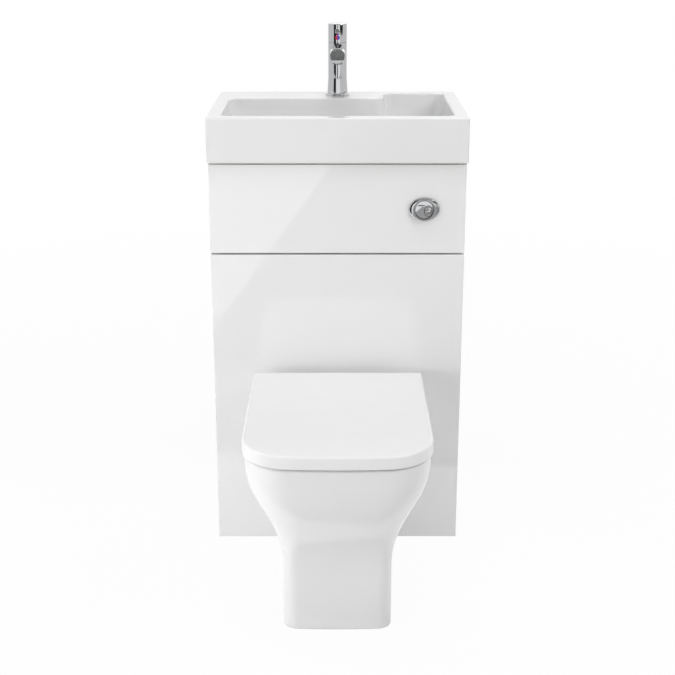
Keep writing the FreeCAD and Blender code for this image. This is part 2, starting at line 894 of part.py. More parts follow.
def make_aerator():
    mouth_top = under_spout(aerator_mouth_depth - aerator_proud)
    return aerator_rod(0).cut(rod(aerator_mouth_radius, under_spout(-aerator_proud), mouth_top))


def spindle_height():
    return stem_ball_radius


def make_cartridge():
    top = spindle_top_z - spindle_height()
    return rod(cartridge_radius, on_tap(top - cartridge_height), on_tap(top))


def make_cartridge_nut():
    base = spindle_top_z - spindle_height()
    ball = Part.makeSphere(tap_joint_radius, on_tap(tap_pivot_z))
    crown = rod(tap_radius, on_tap(tap_seam_z), on_tap(tap_pivot_z + tap_joint_radius))
    skirt = rod(cartridge_radius, on_tap(base), on_tap(tap_seam_z))
    opening = rod(cartridge_opening, on_tap(base), on_tap(tap_pivot_z + tap_joint_radius))
    return united([ball.common(crown), skirt]).cut(opening)


def pivot_rod(radius):
    half_length = Vector(cheek_outer, 0, 0)
    return rod(radius, on_tap(tap_pivot_z) - half_length, on_tap(tap_pivot_z) + half_length)


def make_tap_spindle():
    disc = rod(spindle_radius, on_tap(spindle_top_z - spindle_height()), on_tap(spindle_top_z))
    y_span = (tap_y - cheek_half_width, tap_y + cheek_half_width)
    z_span = (spindle_top_z - spindle_height() / 2, tap_pivot_z + cheek_half_width)
    cheeks = [box((side * cheek_inner, side * cheek_outer), y_span, z_span) for side in sides]
    return united([disc] + cheeks).cut(pivot_rod(pivot_pin_radius + running_clearance))


def lever_line(distance):
    slope = math.radians(lever_slope)
    start = Vector(0, tap_y - tap_radius, lever_z)
    return start + Vector(0, -math.cos(slope), math.sin(slope)) * distance


def mark_rod(radius):
    inner_end = Vector(0, tap_y - tap_radius + mark_depth, mark_z)
    return rod(radius, inner_end, Vector(0, tap_y - tap_radius * 2, mark_z))


def make_tap_cap():
    cap = rod(tap_radius, on_tap(tap_seam_z), on_tap(tap_top_z))
    cap = cap.makeFillet(tap_cap_round, edges_at(cap, tap_top_z))
    cap = cap.cut(Part.makeSphere(tap_joint_radius + tap_joint_gap, on_tap(tap_pivot_z)))
    stem = rod(stem_radius, on_tap(tap_pivot_z), on_tap(tap_top_z - tap_cap_height / 2))
    ball = Part.makeSphere(stem_ball_radius, on_tap(tap_pivot_z))
    spigot_hole = rod(lever_spigot_radius + thread_clearance / 2, lever_line(-lever_spigot_length),
                      lever_line(0))
    mark_seat = mark_rod(mark_radius + thread_clearance / 2)
    return united([cap, stem, ball, pivot_rod(pivot_pin_radius)]).cut([spigot_hole, mark_seat])


def make_tap_lever():
    pin = rod(lever_radius, lever_line(-lever_radius), lever_line(lever_length))
    tip = [e for e in pin.Edges if e.CenterOfMass.y < lever_line(lever_length * 0.9).y]
    pin = pin.makeFillet(lever_radius / 4, tip)
    pin = pin.cut(rod(tap_radius + thread_clearance, on_tap(tap_seam_z), on_tap(tap_top_z)))
    spigot = rod(lever_spigot_radius, lever_line(-lever_spigot_length), lever_line(lever_radius))
    return united([pin, spigot])


def make_mark_halves():
    skin = rod(tap_radius, on_tap(mark_z - tap_radius), on_tap(mark_z + tap_radius))
    disc = mark_rod(mark_radius).common(skin)
    return grouped([disc.common(box((0, side * tap_radius), (tap_y - tap_radius * 2, tap_y),
                                    (mark_z - tap_radius, mark_z + tap_radius))) for side in sides])


def make_tap_stud():
    top = tap_foot_z + stud_depth
    return rod(stud_radius, stud_place(top - stud_length), stud_place(top))


def make_clamp_nut():
    plate_base = ledge_base_z - clamp_height
    nut_base = plate_base - clamp_nut_height
    plate = rod(clamp_radius, on_tap(plate_base), on_tap(ledge_base_z))
    open_span = (tap_y - clamp_radius, tap_y + stud_offset - stud_radius * 2)
    open_side = box((-clamp_radius, clamp_radius), open_span, (plate_base, ledge_base_z))
    nut = hexagon(clamp_nut_radius, stud_place(nut_base), clamp_nut_height)
    bore = rod(stud_radius + thread_clearance / 2, stud_place(nut_base), stud_place(ledge_base_z))
    return united([plate.cut(open_side), nut]).cut(bore)


# Flush control

def at_button(y):
    return Vector(button_x, y, button_z)


def ellipse_loop(half_width, half_height, centre):
    wide = centre + Vector(half_width, 0, 0)
    tall = centre + Vector(0, 0, half_height)
    axes = (tall, wide) if half_height > half_width else (wide, tall)
    return Part.Wire(Part.Ellipse(*axes, centre).toShape())


def make_bezel():
    foot_height = bezel_height / 5
    foot = Part.Face(ellipse_loop(bezel_half_width, bezel_half_height, at_button(front_y)))
    foot = foot.extrude(Vector(0, -foot_height, 0))
    loops = []
    for i in range(bezel_steps + 1):
        turn = math.pi / 2 * i / bezel_steps
        half_width = bezel_ring_radius + (bezel_half_width - bezel_ring_radius) * math.cos(turn)
        half_height = bezel_ring_radius + (bezel_half_height - bezel_ring_radius) * math.cos(turn)
        rise = foot_height + (bezel_height - foot_height) * math.sin(turn)
        loops.append(ellipse_loop(half_width, half_height, at_button(front_y - rise)))
    hole = rod(housing_bore, at_button(front_y), at_button(front_y - bezel_height))
    return united([foot, lofted(loops)]).cut(hole)


def half_button_prism(grow, start_y, end_y):
    loop = ellipse_loop(half_button_half_width + grow, half_button_half_height + grow,
                        half_button_place + Vector(0, start_y, 0))
    return Part.Face(loop).extrude(Vector(0, end_y - start_y, 0))


def front_round(shape):
    front = button_back_y - button_round
    edges = [e for e in shape.Edges if e.BoundBox.YMax < front and e.BoundBox.YLength < 1e-4]
    return shape.makeFillet(button_round, edges)


def make_full_button():
    crown = Part.makeSphere(button_crown_radius, at_button(button_face_y + button_crown_radius))
    disc = rod(button_radius, at_button(button_back_y), at_button(button_face_y)).common(crown)
    disc = front_round(disc)
    disc = disc.cut(half_button_prism(button_gap, button_face_y, button_back_y))
    piston = rod(piston_radius, full_piston_place + Vector(0, button_back_y, 0),
                 full_piston_place + Vector(0, piston_end_y, 0))
    return united([disc, piston])


def make_half_button():
    disc = front_round(half_button_prism(0, button_face_y, button_back_y))
    dish_y = button_face_y + half_button_dish_depth - half_button_dish_radius
    disc = disc.cut(Part.makeSphere(half_button_dish_radius, half_button_place + Vector(0, dish_y, 0)))
    piston = rod(piston_radius, half_button_place + Vector(0, button_back_y, 0),
                 half_button_place + Vector(0, piston_end_y, 0))
    return united([disc, piston])


def make_button_housing():
    shell = rod(housing_radius, at_button(front_y), at_button(housing_end_y))
    bore = rod(housing_bore, at_button(front_y), at_button(housing_end_y - housing_end))
    parts = [shell.cut(bore)]
    vents = []
    for place in (full_piston_place, half_button_place):
        start = place + Vector(0, housing_end_y - housing_end, 0)
        end = place + Vector(0, housing_end_y + nipple_length, 0)
        parts.append(rod(tube_radius, start + Vector(0, housing_end / 2, 0), end))
        vents.append(rod(tube_bore, start, end))
    return united(parts).cut(vents)


def make_button_backnut():
    bore = housing_radius + thread_clearance
    end = at_button(panel_back_y + housing_nut_height)
    return tube(bore + housing_nut_wall, bore, at_button(panel_back_y), end)


def make_bellows():
    length = housing_end_y - housing_end - piston_end_y
    step = length / (2 * bellows_ribs)
    made = []
    for place in (full_piston_place, half_button_place):
        slices = []
        for i in range(2 * bellows_ribs):
            wide = piston_radius
            narrow = piston_radius - bellows_rib_depth
            radii = (narrow, wide) if i % 2 == 0 else (wide, narrow)
            start = place + Vector(0, piston_end_y + i * step, 0)
            slices.append(cone(*radii, start, start + Vector(0, step, 0)))
        vent = rod(tube_bore, place + Vector(0, piston_end_y, 0), place + Vector(0, piston_end_y + length, 0))
        made.append(united(slices).cut(vent))
    return grouped(made)


def air_nipple_places():
    return [Vector(air_nipple_x, tank_y + side * air_nipple_offset, 0) for side in sides]


def make_air_tubes():
    tubes = []
    tube_end_z = tank_lid_top() + air_nipple_proud
    for place, drop in zip((full_piston_place, half_button_place), air_nipple_places()):
        points = [
            place + Vector(0, housing_end_y + nipple_length, 0),
            Vector(place.x, drop.y, place.z),
            Vector(drop.x, drop.y, place.z),
            Vector(drop.x, drop.y, tube_end_z),
        ]
        path = route(points)
        tubes.append(swept(path, tube_radius).cut(swept(path, tube_bore)))
    return grouped(tubes)


# Cistern

def tank_lid_top():
    return tank_top + tank_wall


def tank_block(grow, base, top):
    half = tank_width / 2 + grow
    block = box((-half, half), (tank_front_y - grow, tank_back_y + min(grow, 0)), (base, top))
    upright = [e for e in block.Edges if e.BoundBox.ZLength > (top - base) / 2]
    return block.makeFillet(tank_corner + grow, upright)


def valve_axis(height):
    return Vector(0, tank_y, height)


def fill_axis(height):
    return Vector(fill_x, tank_y, height)


def make_tank():
    shell = tank_block(0, tank_base, tank_top).cut(tank_block(-tank_wall, tank_floor, tank_top))
    outlet = rod(valve_tail_radius + thread_clearance, valve_axis(tank_base), valve_axis(tank_floor))
    inlet = rod(fill_tail_radius + thread_clearance, fill_axis(tank_base), fill_axis(tank_floor))
    return shell.cut([outlet, inlet] + tank_screw_shanks(thread_clearance))


def make_tank_lid():
    lid = tank_block(0, tank_top, tank_lid_top())
    outer = tank_block(-tank_wall - tank_lid_clearance, tank_top - tank_lid_lip, tank_top)
    inner = tank_block(-2 * tank_wall - tank_lid_clearance, tank_top - tank_lid_lip, tank_top)
    ribs = [box((-tank_width / 3, tank_width / 3), (tank_y + offset, tank_y + offset + tank_wall),
                (tank_lid_top(), tank_lid_top() + tank_wall)) for offset in (-tank_depth / 3, tank_depth / 4)]
    holes = [rod(air_nipple_radius + tank_lid_clearance, place + Vector(0, 0, tank_top - tank_lid_lip),
                 place + Vector(0, 0, tank_lid_top())) for place in air_nipple_places()]
    return united([lid, outer.cut(inner)] + ribs).cut(holes)


def make_valve_cage():
    base = rod(valve_base_radius, valve_axis(tank_floor), valve_axis(valve_seat_z))
    tail = rod(valve_tail_radius, valve_axis(tank_base - valve_tail_length), valve_axis(tank_floor))
    bore = rod(valve_bore, valve_axis(tank_base - valve_tail_length), valve_axis(valve_seat_z))
    drum = tube(cage_radius, cage_radius - cage_wall, valve_axis(valve_seat_z), valve_axis(cage_top))
    head = rod(cage_radius, valve_axis(cage_top), valve_axis(cage_top + cage_wall))
    guide = rod(lifter_radius + running_clearance, valve_axis(cage_top), valve_axis(cage_top + cage_wall))
    half = cage_window_width / 2
    window = (valve_seat_z + seal_height, cage_top - cage_wall * 2)
    windows = [box((-cage_radius, cage_radius), (tank_y - half, tank_y + half), window),
               box((-half, half), (tank_y - cage_radius, tank_y + cage_radius), window)]
    nipple_end = Vector(0, 0, tank_lid_top() + air_nipple_proud)
    nipple_base = Vector(0, 0, cage_top + cage_wall / 2)
    nipples = [rod(air_nipple_radius, place + nipple_base, place + nipple_end)
               for place in air_nipple_places()]
    return united([united([base, tail]).cut(bore), drum.cut(windows), head.cut(guide)] + nipples)


def make_lifter():
    disc_base = valve_seat_z + rest_gap + seal_height
    top = cage_top + lifter_rise
    disc = rod(seal_radius - lifter_wall, valve_axis(disc_base), valve_axis(disc_base + lifter_disc_height))
    stalk = rod(lifter_radius, valve_axis(disc_base), valve_axis(top))
    bore = rod(lifter_radius - lifter_wall, valve_axis(disc_base), valve_axis(top))
    return united([disc, stalk]).cut(bore)


def make_valve_seal():
    base = valve_seat_z + rest_gap
    return tube(seal_radius, lifter_radius - lifter_wall, valve_axis(base), valve_axis(base + seal_height))


def make_cistern_backnuts():
    outlet_bore = valve_tail_radius + thread_clearance
    inlet_bore = fill_tail_radius + thread_clearance
    outlet_place = valve_axis(tank_base - outlet_nut_height)
    inlet_place = fill_axis(tank_base - inlet_nut_height)
    outlet = hexagon_nut(outlet_bore + outlet_nut_wall, outlet_bore, outlet_place, outlet_nut_height)
    inlet = hexagon_nut(inlet_bore + nut_wall, inlet_bore, inlet_place, inlet_nut_height)
    return grouped([outlet, inlet])


def flush_path():
    top = valve_axis(tank_base - valve_tail_length + flush_pipe_insertion)
    bend_top = valve_axis(flush_inlet_height + flush_pipe_bend)
    bend_end = Vector(0, tank_y - flush_pipe_bend, flush_inlet_height)
    bend_centre = Vector(0, tank_y - flush_pipe_bend, flush_inlet_height + flush_pipe_bend)
    diagonal = Vector(0, 1, -1).normalize() * flush_pipe_bend
    end = Vector(0, front_y - flush_pipe_in_pan, flush_inlet_height)
    return Part.Wire([
        Part.LineSegment(top, bend_top).toShape(),
        Part.Arc(bend_top, bend_centre + diagonal, bend_end).toShape(),
        Part.LineSegment(bend_end, end).toShape(),
    ])


def make_flush_pipe():
    path = flush_path()
    return swept(path, flush_pipe_radius).cut(swept(path, flush_pipe_radius - flush_pipe_wall))


def make_flush_cone():
    inner = flush_pipe_radius + thread_clearance / 2
    near = Vector(0, panel_back_y - board + cone_lip, flush_inlet_height)
    mouth = Vector(0, front_y, flush_inlet_height)
    end = Vector(0, front_y - flush_pipe_in_pan, flush_inlet_height)
    plug = rod(flush_inlet_bore - thread_clearance / 2, mouth, end)
    lip = rod(min(flush_inlet_bore + cone_flare, flush_hole_radius) - thread_clearance, mouth, near)
    return united([plug, lip]).cut(rod(inner, near, end))


def make_fill_valve():
    column_top = tank_floor + fill_column_height
    tail = rod(fill_tail_radius, fill_axis(tank_base - fill_tail_length), fill_axis(tank_floor))
    flange = rod(fill_flange_radius, fill_axis(tank_floor), fill_axis(tank_floor + fill_flange_height))
    column = rod(fill_column_radius, fill_axis(tank_floor), fill_axis(column_top))
    head = rod(fill_head_radius, fill_axis(column_top), fill_axis(column_top + fill_head_height))
    head = head.makeFillet(fill_flange_height, edges_at(head, column_top + fill_head_height))
    stop_base = tank_floor + float_rest - fill_flange_height - rest_gap
    stop = rod(fill_flange_radius, fill_axis(stop_base), fill_axis(stop_base + fill_flange_height))
    bore = rod(fill_tail_radius / 2, fill_axis(tank_base - fill_tail_length), fill_axis(column_top))
    groove_top = tank_base - inlet_nut_height
    groove = tube(fill_tail_radius * 2, fill_tail_radius - fill_groove_depth,
                  fill_axis(groove_top - fill_groove_width), fill_axis(groove_top))
    return united([tail, flange, column, head, stop]).cut([bore, groove])


def make_float():
    base = tank_floor + float_rest
    top = base + float_height
    inner = fill_column_radius + running_clearance
    cup = rod(float_radius, fill_axis(base), fill_axis(top))
    cup = cup.makeFillet(float_wall, edges_at(cup, top))
    hollow = tube(float_radius - float_wall, inner + float_wall, fill_axis(base), fill_axis(top - float_wall))
    return cup.cut([hollow, rod(inner, fill_axis(base), fill_axis(top))])


# Pan

def pan_loop(inset, height):
    climb = (height - flare_start) / (rim_height - flare_start)
    half = foot_half_width + (rim_half_width - foot_half_width) * eased(climb)
    front = foot_front + (rim_front - foot_front) * eased(climb)
    corner = foot_corner + (rim_corner - foot_corner) * eased(climb / corner_flare_share)
    return d_loop(half - inset, inset, front - inset, corner - inset, height)


def pan_foot_and_flare(inset, base, top):
    rise = (top - flare_start) / flare_steps
    heights = [flare_start + rise * i for i in range(flare_steps + 1)]
    foot = prism(pan_loop(inset, base), flare_start - base)
    return [foot, lofted([pan_loop(inset, height) for height in heights])]


def pan_rim():
    rim = prism(pan_loop(0, flare_end), rim_height - flare_end)
    outer_lip = [e for e in edges_at(rim, rim_height) if e.CenterOfMass.y < front_y - rim_depth]
    return rim.makeFillet(pan_rim_round, outer_lip)


def bowl_section(grow, depth):
    half = bowl_half_width + (sump_half_width - bowl_half_width) * depth ** bowl_side_power
    front = bowl_front + (sump_front - bowl_front) * depth ** bowl_front_power
    back = bowl_back + (sump_back - bowl_back) * depth ** bowl_back_power
    height = rim_height - depth * (rim_height - sump_height) - grow * (depth == 1)
    near_corner = bowl_near_corner_share * half
    far_corner = bowl_far_corner_share * half
    return rounded_rectangle(half + grow, front_y - front - grow, front_y - back + grow, near_corner + grow,
                             far_corner + grow, height)


def bowl_solid(grow):
    return lofted([bowl_section(grow, i / bowl_steps) for i in range(bowl_steps + 1)])


def along(reach, height):
    return Vector(0, front_y - reach, height)


def trapway(radius):
    points = [along(trapway_front, trapway_dip_height), along(trapway_dip, trapway_dip_height),
              along(trapway_rise, soil_height), along(-soil_reach, soil_height)]
    pieces = [Part.makeSphere(radius, point) for point in points[:-1]]
    pieces += [rod(radius, start, end) for start, end in zip(points, points[1:])]
    return united(pieces)


def flush_inlet():
    bore = rod(flush_inlet_bore, along(0, flush_inlet_height), along(flush_inlet_depth, flush_inlet_height))
    channel_end = along(bowl_back + flush_channel_overrun, flush_inlet_height)
    channel = rod(flush_channel_radius, along(0, flush_inlet_height), channel_end)
    return united([bore, channel])


def hinge_stud_place(side, height):
    return Vector(side * hinge_x, hinge_y - post_stud_setback, height)


def side_screw_line(side, x):
    return Vector(side * x, front_y - side_screw_setback, side_screw_height)


def inlet_boss(clearance):
    boss_end = along(bowl_back + pan_wall, flush_inlet_height)
    return rod(flush_inlet_bore + pan_wall + clearance, along(0, flush_inlet_height), boss_end)


def pan_holes():
    holes = []
    for side in sides:
        stud_end = hinge_stud_place(side, rim_height - rim_depth)
        stud_start = hinge_stud_place(side, rim_height)
        holes.append(rod(post_stud_radius + hinge_hole_clearance, stud_start, stud_end))
        holes.append(rod(side_screw_radius + waste_hole_clearance, side_screw_line(side, foot_half_width / 2),
                         side_screw_line(side, side_cover_x)))
        seat = foot_half_width - side_cover_depth
        holes.append(rod(side_cover_radius + thread_clearance, side_screw_line(side, seat),
                         side_screw_line(side, side_cover_x)))
    return holes


def make_pan():
    skin = united(pan_foot_and_flare(0, 0, flare_end) + [pan_rim()])
    room = united(pan_foot_and_flare(pan_wall, -pan_wall, rim_height - rim_depth))
    shell = skin.cut(room)
    bowl_mouth = prism(bowl_section(0, 0), pan_wall)
    trap_hole = trapway(trapway_radius + trapway_wall + thread_clearance)
    for tool in [bowl_solid(0), bowl_mouth, trap_hole, inlet_boss(thread_clearance)] + pan_holes():
        shell = shell.cut(tool)
    return shell


# The bowl hangs under the rim, and the trapway runs from its sump to the spigot behind the panel.
def make_bowl_and_trap():
    under_rim = box((-rim_half_width, rim_half_width), (front_y, front_y - rim_front),
                    (0, rim_height - rim_depth))
    outer = [bowl_solid(pan_wall), trapway(trapway_radius + trapway_wall)]
    linings = [shape.common(under_rim) for shape in outer]
    spigot = rod(trapway_radius + spigot_wall, along(0, soil_height), along(-soil_reach, soil_height))
    lining = united(linings + [spigot, inlet_boss(0)])
    for tool in (bowl_solid(0), trapway(trapway_radius), flush_inlet()):
        lining = lining.cut(tool)
    return lining


def bracket_face():
    return foot_half_width - pan_wall - bracket_clearance


def make_brackets():
    made = []
    middle = front_y - side_screw_setback
    y_span = (middle - bracket_length / 2, middle + bracket_length / 2)
    for side in sides:
        face = side * bracket_face()
        foot = box((face, face - side * bracket_width), y_span, (0, bracket_thickness))
        upright = box((face, face - side * bracket_thickness), y_span, (0, bracket_height))
        hole_end = side_screw_line(side, bracket_face() - bracket_thickness)
        hole = rod(side_screw_radius + thread_clearance / 2, side_screw_line(side, bracket_face()), hole_end)
        floor_place = Vector(face - side * (bracket_width + bracket_thickness) / 2, middle, 0)
        floor_hole = rod(floor_hole_radius, floor_place, floor_place + Vector(0, 0, bracket_thickness))
        made.append(united([foot, upright]).cut([hole, floor_hole]))
    return grouped(made)


def make_side_screws():
    made = []
    for side in sides:
        seat = foot_half_width - side_cover_depth
        cover = rod(side_cover_radius, side_screw_line(side, seat), side_screw_line(side, side_cover_x))
        outer = [e for e in cover.Edges if abs(abs(e.CenterOfMass.x) - side_cover_x) < 1e-4]
        cover = cover.makeFillet(side_cover_proud / 2, outer)
        tip = side_screw_line(side, seat - side_screw_length)
        shank = rod(side_screw_radius, tip, side_screw_line(side, seat))
        made.append(united([cover, shank]))
    return grouped(made)


# Seat and lid

def hinge_line(x):
    return Vector(x, hinge_y, hinge_z)


def hinge_rod(radius, inner, outer, side):
    return rod(radius, hinge_line(side * inner), hinge_line(side * outer))


def above_lid():
    slope = math.degrees(math.atan2(lid_front_rise, lid_front - hinge_reach))
    outside = lid_half_width + lid_bar
    cutter = box((-outside, outside), (hinge_y + lid_bar, front_y - lid_front - lid_bar),
                 (lid_top, lid_top + lid_thickness))
    cutter.rotate(Vector(0, hinge_y, lid_top), Vector(1, 0, 0), -slope)
    return cutter


def make_lid():
    round_radius = lid_thickness / 2
    slab = prism(d_loop(lid_half_width, hinge_reach, lid_front, lid_corner, lid_base),
                 lid_thickness + lid_front_rise)
    slab = slab.cut(above_lid())
    top_face = max(slab.Faces, key=lambda f: f.CenterOfMass.z)
    top_edges = [e for e in top_face.Edges if e.CenterOfMass.y < hinge_y - 1]
    slab = slab.makeFillet(lid_edge_round, top_edges)
    back_face = min(slab.Faces, key=lambda f: abs(f.CenterOfMass.y - hinge_y))
    upper_half = box((-lid_half_width, lid_half_width), (hinge_y - 1, hinge_y + 1), (hinge_z, lid_top))
    upper = back_face.common(upper_half)
    rear = upper.Faces[0].revolve(hinge_line(0), Vector(1, 0, 0), -180)
    cavity_base = lid_base - lid_gap / 2
    cavity = prism(d_loop(lid_half_width - lid_wall, hinge_reach + lid_bar, lid_front - lid_wall,
                          lid_corner - lid_wall, cavity_base), lid_ceiling - cavity_base)
    soft = [e for e in edges_at(cavity, lid_ceiling) if e.CenterOfMass.y < hinge_y - lid_bar - 1]
    cavity = cavity.makeFillet(lid_inner_round, soft)
    cuts = [cavity]
    for side in sides:
        inner = side * (seat_lug_inner - knuckle_clearance)
        outer = side * (post_outer + knuckle_clearance)
        pocket = knuckle_radius + knuckle_clearance
        cuts.append(rod(pocket, hinge_line(inner), hinge_line(outer)))
        cuts.append(box((inner, outer), (hinge_y, hinge_y - lid_bar - 1), (cavity_base, hinge_z + pocket)))
        cuts.append(box((inner, outer), (hinge_y, hinge_y + round_radius + 1), (cavity_base - 1, hinge_z)))
        cuts.append(hinge_rod(pin_radius + running_clearance, post_outer, lid_lug_outer + rest_gap * 2, side))
    return united([slab, rear]).cut(cuts)


def make_seat_ring():
    corner = lid_corner - lid_wall - seat_clearance
    slab = prism(d_loop(seat_half_width, seat_back, seat_front, corner, seat_base), seat_thickness)
    hole = prism(rounded_rectangle(seat_hole_half_width, front_y - seat_hole_front, front_y - seat_hole_back,
                                   seat_hole_corner, seat_hole_corner, seat_base), seat_thickness)
    ring = slab.cut(hole)
    ring = ring.makeFillet(seat_round, edges_at(ring, seat_top))
    parts = [ring]
    bores = []
    for side in sides:
        parts.append(hinge_rod(knuckle_radius, seat_lug_inner, seat_lug_outer, side))
        lug_span = (hinge_y, front_y - seat_back - seat_round * 2)
        parts.append(box((side * seat_lug_inner, side * seat_lug_outer), lug_span,
                         (hinge_z - knuckle_radius, seat_top - seat_round)))
        bores.append(hinge_rod(pin_radius + running_clearance, seat_lug_inner, seat_lug_outer, side))
    return united(parts).cut(bores)


def make_hinge_posts():
    made = []
    for side in sides:
        x_span = (side * post_inner, side * post_outer)
        base_half = post_base_width / 2
        base_span = (rim_height, rim_height + post_base_height)
        base = box((side * hinge_x - base_half, side * hinge_x + base_half),
                   (hinge_y - post_base_back, hinge_y - post_base_front), base_span)
        uprights = [e for e in base.Edges if e.BoundBox.ZLength > post_base_height / 2]
        base = base.makeFillet(post_base_width / 4, uprights)
        neck = box(x_span, (hinge_y - post_neck_back, hinge_y - post_neck_front),
                   (rim_height + post_base_height / 2, hinge_z))
        gap_under = box(x_span, (hinge_y, hinge_y - post_base_back), base_span)
        knuckle = hinge_rod(knuckle_radius, post_inner, post_outer, side)
        stud_end = rim_height - rim_depth - hinge_nut_height - seat_lift
        stud = rod(post_stud_radius, hinge_stud_place(side, stud_end),
                   hinge_stud_place(side, rim_height + post_base_height / 2))
        post = united([base, neck.cut(gap_under), knuckle, stud])
        made.append(post.cut(hinge_rod(pin_radius + running_clearance / 2, post_inner, post_outer, side)))
    return grouped(made)


def make_hinge_pins():
    return grouped([hinge_rod(pin_radius, seat_lug_inner, lid_lug_outer, side) for side in sides])


def make_hinge_nuts():
    bore = post_stud_radius + thread_clearance / 2
    base = rim_height - rim_depth - hinge_nut_height
    return grouped([hexagon_nut(hinge_nut_radius, bore, hinge_stud_place(side, base), hinge_nut_height)
                    for side in sides])


def buffer_places():
    side_x = (bowl_half_width + seat_half_width) / 2
    front_reach = (seat_hole_front + seat_front) / 2
    places = []
    for side in sides:
        places.append((side * side_x, side_buffer_reach))
        places.append((side * side_x / 2, front_reach))
    return places


def make_buffers(base, top):
    made = []
    for x, reach in buffer_places():
        pad = rod(buffer_radius, Vector(x, front_y - reach, base), Vector(x, front_y - reach, top))
        made.append(pad.makeFillet(buffer_round, edges_at(pad, base)))
    return grouped(made)


pieces = {
    "left_side_panel": make_side_panel(-1),
    "right_side_panel": make_side_panel(1),
    "lower_front_panel": make_lower_panel(),
    "upper_front_panel": make_upper_panel(),
    "rail_dowels": grouped(dowels(0)),
    "panel_clips": grouped(clips(0)),
    "floor_glides": make_glides(),
    "cistern_screws": make_tank_screws(),
    "basin": make_basin(),
    "waste_flange": make_waste_flange(),
    "waste_plug": make_waste_plug(),
    "waste_backnut": make_waste_backnut(),
    "trap_nut": make_trap_nut(),
    "trap_body": make_trap_body(),
    "trap_cup": make_trap_cup(),
    "waste_pipe": make_waste_pipe(),
    "tap_base_ring": make_tap_base_ring(),
    "tap_body": make_tap_body(),
    "aerator": make_aerator(),
    "cartridge": make_cartridge(),
    "cartridge_nut": make_cartridge_nut(),
    "tap_spindle": make_tap_spindle(),
    "tap_cap": make_tap_cap(),
    "tap_lever": make_tap_lever(),
    "temperature_marks": make_mark_halves(),
    "tap_stud": make_tap_stud(),
    "clamp_nut": make_clamp_nut(),
    "button_bezel": make_bezel(),
    "full_flush_button": make_full_button(),
    "half_flush_button": make_half_button(),
    "button_housing": make_button_housing(),
    "button_backnut": make_button_backnut(),
    "flush_bellows": make_bellows(),
    "air_tubes": make_air_tubes(),
    "cistern_tank": make_tank(),
    "cistern_lid": make_tank_lid(),
    "flush_valve_cage": make_valve_cage(),
    "flush_valve_lifter": make_lifter(),
    "flush_valve_seal": make_valve_seal(),
    "cistern_backnuts": make_cistern_backnuts(),
    "flush_pipe": make_flush_pipe(),
    "flush_cone": make_flush_cone(),
    "fill_valve": make_fill_valve(),
    "fill_float": make_float(),
    "pan": make_pan(),
    "bowl_and_trap": make_bowl_and_trap(),
    "pan_brackets": make_brackets(),
    "pan_side_screws": make_side_screws(),
    "seat_ring": make_seat_ring(),
    "seat_lid": make_lid(),
    "hinge_posts": make_hinge_posts(),
    "hinge_pins": make_hinge_pins(),
    "hinge_nuts": make_hinge_nuts(),
    "seat_buffers": make_buffers(rim_height + rest_gap, seat_base),
    "lid_buffers": make_buffers(seat_top + rest_gap, lid_ceiling),
}
for rail_name in rail_spans():
    pieces[rail_name] = make_rail(rail_name)

os.makedirs("parts", exist_ok=True)
for name, shape in pieces.items():
    shape.exportStep(f"parts/{name}.step")
    state = "valid" if shape.isValid() else "BAD"
    print(name, len(shape.Solids), "solids", round(shape.Volume / 1000, 1), "cm3", state)
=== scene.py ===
import json
import math

import bpy
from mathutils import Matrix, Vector

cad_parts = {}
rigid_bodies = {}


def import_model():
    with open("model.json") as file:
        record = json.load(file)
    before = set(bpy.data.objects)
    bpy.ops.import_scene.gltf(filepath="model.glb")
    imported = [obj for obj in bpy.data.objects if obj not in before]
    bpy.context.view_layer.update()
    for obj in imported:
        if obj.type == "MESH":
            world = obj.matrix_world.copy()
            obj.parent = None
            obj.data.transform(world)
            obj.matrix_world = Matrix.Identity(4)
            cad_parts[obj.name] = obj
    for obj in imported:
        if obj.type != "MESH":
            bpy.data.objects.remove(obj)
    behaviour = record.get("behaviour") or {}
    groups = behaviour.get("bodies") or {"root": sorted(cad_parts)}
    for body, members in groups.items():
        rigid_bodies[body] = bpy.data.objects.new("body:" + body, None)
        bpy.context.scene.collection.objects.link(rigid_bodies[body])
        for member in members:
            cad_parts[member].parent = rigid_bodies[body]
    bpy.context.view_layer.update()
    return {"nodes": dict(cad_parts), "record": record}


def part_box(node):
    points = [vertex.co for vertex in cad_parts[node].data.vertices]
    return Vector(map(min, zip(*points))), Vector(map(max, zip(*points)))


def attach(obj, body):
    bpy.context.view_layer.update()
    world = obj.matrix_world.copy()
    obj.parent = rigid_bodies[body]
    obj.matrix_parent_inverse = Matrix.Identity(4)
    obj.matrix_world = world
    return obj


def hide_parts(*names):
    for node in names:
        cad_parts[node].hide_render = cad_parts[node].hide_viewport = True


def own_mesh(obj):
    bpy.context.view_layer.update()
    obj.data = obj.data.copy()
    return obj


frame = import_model()

for leftover in ("Cube", "Light", "Camera"):  # what an empty Blender file starts with
    if leftover in bpy.data.objects:
        bpy.data.objects.remove(bpy.data.objects[leftover], do_unlink=True)


